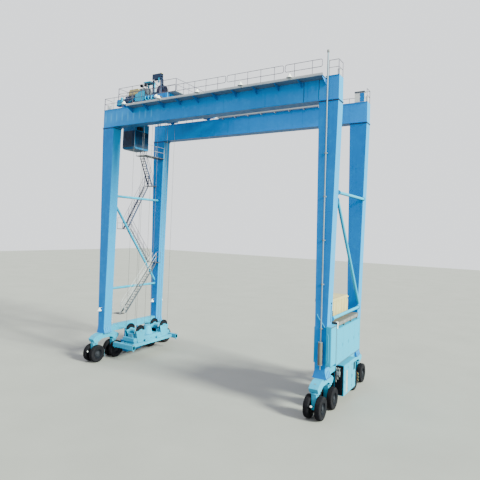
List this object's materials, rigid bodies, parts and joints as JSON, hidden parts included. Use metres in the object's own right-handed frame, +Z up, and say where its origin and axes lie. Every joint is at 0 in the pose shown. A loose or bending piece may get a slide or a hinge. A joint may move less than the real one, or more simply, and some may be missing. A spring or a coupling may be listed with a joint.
{
  "type": "rubber tyred gantry crane",
  "caption": "Rubber tyred container gantry crane: two box girders on tapered legs, twin tyre bogies, travelling trolley with cab, rope hoist and telescopic spreader, stairs and power house.",
  "frame": {"origin": "on the ground, at the centre of the rectangle of the four wheel groups", "axes": "+X along the girders to the side with the electric house, +Y the way the crane travels, away from the camera, +Z up"},
  "size_m": [22.846, 10.54, 25.4503],
  "materials": {
    "blue_paint": "semi-gloss",
    "light_blue_paint": "semi-gloss",
    "galvanised_steel": "satin",
    "rail_steel": "worn",
    "wire_rope": "greased",
    "dark_steel": "satin",
    "cream_paint": "satin",
    "white_paint": "satin",
    "tyre_rubber": "matt",
    "cab_glass": "tinted"
  },
  "bodies": {
    "portal": {"front_girder": "blue_paint", "rear_girder": "blue_paint", "leg_left_front": "blue_paint", "leg_left_rear": "blue_paint", "leg_right_front": "blue_paint", "leg_right_rear": "blue_paint", "sill_left": "light_blue_paint", "sill_right": "light_blue_paint", "braces_left": "light_blue_paint", "braces_right": "light_blue_paint", "bogie_beams": "light_blue_paint", "trolley_rails": "rail_steel", "walkways": "galvanised_steel", "front_handrail": "galvanised_steel", "rear_handrail": "galvanised_steel", "end_railings": "galvanised_steel", "cable_trough": "galvanised_steel", "stair_flight_1": "dark_steel", "stair_flight_2": "dark_steel", "stair_flight_3": "dark_steel", "stair_flight_4": "dark_steel", "stair_landings": "dark_steel", "stair_handrails": "galvanised_steel", "ladders": "galvanised_steel", "electric_house": "light_blue_paint", "roof_units": "cream_paint", "power_cabinet": "light_blue_paint", "side_cabinet": "blue_paint", "mast_pipe": "galvanised_steel", "floodlights": "white_paint"},
    "trolley": {"trolley_trucks": "blue_paint", "trolley_beams": "blue_paint", "trolley_deck": "galvanised_steel", "trolley_handrail": "galvanised_steel", "hoist_machinery": "cream_paint", "cable_reel": "dark_steel", "cab": "blue_paint", "cab_glass": "cab_glass", "hoist_ropes": "wire_rope"},
    "spreader": {"head_block": "light_blue_paint", "head_sheaves": "dark_steel", "spreader_frame": "light_blue_paint"},
    "telescope_front": {"telescope_front": "light_blue_paint"},
    "telescope_rear": {"telescope_rear": "light_blue_paint"},
    "yoke_left_front_a": {"yoke_left_front_a": "light_blue_paint"},
    "wheels_left_front_a": {"wheels_left_front_a": "tyre_rubber"},
    "yoke_left_front_b": {"yoke_left_front_b": "light_blue_paint"},
    "wheels_left_front_b": {"wheels_left_front_b": "tyre_rubber"},
    "yoke_left_rear_a": {"yoke_left_rear_a": "light_blue_paint"},
    "wheels_left_rear_a": {"wheels_left_rear_a": "tyre_rubber"},
    "yoke_left_rear_b": {"yoke_left_rear_b": "light_blue_paint"},
    "wheels_left_rear_b": {"wheels_left_rear_b": "tyre_rubber"},
    "yoke_right_front_a": {"yoke_right_front_a": "light_blue_paint"},
    "wheels_right_front_a": {"wheels_right_front_a": "tyre_rubber"},
    "yoke_right_front_b": {"yoke_right_front_b": "light_blue_paint"},
    "wheels_right_front_b": {"wheels_right_front_b": "tyre_rubber"},
    "yoke_right_rear_a": {"yoke_right_rear_a": "light_blue_paint"},
    "wheels_right_rear_a": {"wheels_right_rear_a": "tyre_rubber"},
    "yoke_right_rear_b": {"yoke_right_rear_b": "light_blue_paint"},
    "wheels_right_rear_b": {"wheels_right_rear_b": "tyre_rubber"}
  },
  "joints": [
    {"name": "trolley_travel", "type": "slide", "parent": "portal", "child": "trolley", "axis": [1, 0, 0], "range_m": [0, 13]},
    {"name": "hoist", "type": "slide", "parent": "trolley", "child": "spreader", "axis": [0, 0, 1], "range_m": [0, 17], "deforming": ["hoist_ropes"]},
    {"name": "telescope_front_slide", "type": "slide", "parent": "spreader", "child": "telescope_front", "axis": [0, -1, 0], "range_m": [0, 3.066]},
    {"name": "telescope_rear_slide", "type": "slide", "parent": "spreader", "child": "telescope_rear", "axis": [0, 1, 0], "range_m": [0, 3.066]},
    {"name": "steering_left_front_a", "type": "hinge", "parent": "portal", "child": "yoke_left_front_a", "pos_m": [-10.3, -4.53, 0.74], "axis": [0, 0, 1], "range_deg": [0, 90]},
    {"name": "wheel_spin_left_front_a", "type": "hinge", "parent": "yoke_left_front_a", "child": "wheels_left_front_a", "pos_m": [-10.3, -4.53, 0.74], "axis": [1, 0, 0], "continuous": true},
    {"name": "steering_left_front_b", "type": "hinge", "parent": "portal", "child": "yoke_left_front_b", "pos_m": [-10.3, -2.34, 0.74], "axis": [0, 0, 1], "range_deg": [0, 90]},
    {"name": "wheel_spin_left_front_b", "type": "hinge", "parent": "yoke_left_front_b", "child": "wheels_left_front_b", "pos_m": [-10.3, -2.34, 0.74], "axis": [1, 0, 0], "continuous": true},
    {"name": "steering_left_rear_a", "type": "hinge", "parent": "portal", "child": "yoke_left_rear_a", "pos_m": [-10.3, 2.34, 0.74], "axis": [0, 0, -1], "range_deg": [0, 90]},
    {"name": "wheel_spin_left_rear_a", "type": "hinge", "parent": "yoke_left_rear_a", "child": "wheels_left_rear_a", "pos_m": [-10.3, 2.34, 0.74], "axis": [1, 0, 0], "continuous": true},
    {"name": "steering_left_rear_b", "type": "hinge", "parent": "portal", "child": "yoke_left_rear_b", "pos_m": [-10.3, 4.53, 0.74], "axis": [0, 0, -1], "range_deg": [0, 90]},
    {"name": "wheel_spin_left_rear_b", "type": "hinge", "parent": "yoke_left_rear_b", "child": "wheels_left_rear_b", "pos_m": [-10.3, 4.53, 0.74], "axis": [1, 0, 0], "continuous": true},
    {"name": "steering_right_front_a", "type": "hinge", "parent": "portal", "child": "yoke_right_front_a", "pos_m": [10.3, -4.53, 0.74], "axis": [0, 0, -1], "range_deg": [0, 90]},
    {"name": "wheel_spin_right_front_a", "type": "hinge", "parent": "yoke_right_front_a", "child": "wheels_right_front_a", "pos_m": [10.3, -4.53, 0.74], "axis": [1, 0, 0], "continuous": true},
    {"name": "steering_right_front_b", "type": "hinge", "parent": "portal", "child": "yoke_right_front_b", "pos_m": [10.3, -2.34, 0.74], "axis": [0, 0, -1], "range_deg": [0, 90]},
    {"name": "wheel_spin_right_front_b", "type": "hinge", "parent": "yoke_right_front_b", "child": "wheels_right_front_b", "pos_m": [10.3, -2.34, 0.74], "axis": [1, 0, 0], "continuous": true},
    {"name": "steering_right_rear_a", "type": "hinge", "parent": "portal", "child": "yoke_right_rear_a", "pos_m": [10.3, 2.34, 0.74], "axis": [0, 0, 1], "range_deg": [0, 90]},
    {"name": "wheel_spin_right_rear_a", "type": "hinge", "parent": "yoke_right_rear_a", "child": "wheels_right_rear_a", "pos_m": [10.3, 2.34, 0.74], "axis": [1, 0, 0], "continuous": true},
    {"name": "steering_right_rear_b", "type": "hinge", "parent": "portal", "child": "yoke_right_rear_b", "pos_m": [10.3, 4.53, 0.74], "axis": [0, 0, 1], "range_deg": [0, 90]},
    {"name": "wheel_spin_right_rear_b", "type": "hinge", "parent": "yoke_right_rear_b", "child": "wheels_right_rear_b", "pos_m": [10.3, 4.53, 0.74], "axis": [1, 0, 0], "continuous": true}
  ],
  "couplings": [
    {"joint": "telescope_rear_slide", "follows": "telescope_front_slide", "ratio": 1},
    {"joint": "steering_left_front_b", "follows": "steering_left_front_a", "ratio": 1},
    {"joint": "steering_left_rear_b", "follows": "steering_left_rear_a", "ratio": 1},
    {"joint": "steering_right_front_b", "follows": "steering_right_front_a", "ratio": 1},
    {"joint": "steering_right_rear_b", "follows": "steering_right_rear_a", "ratio": 1}
  ]
}
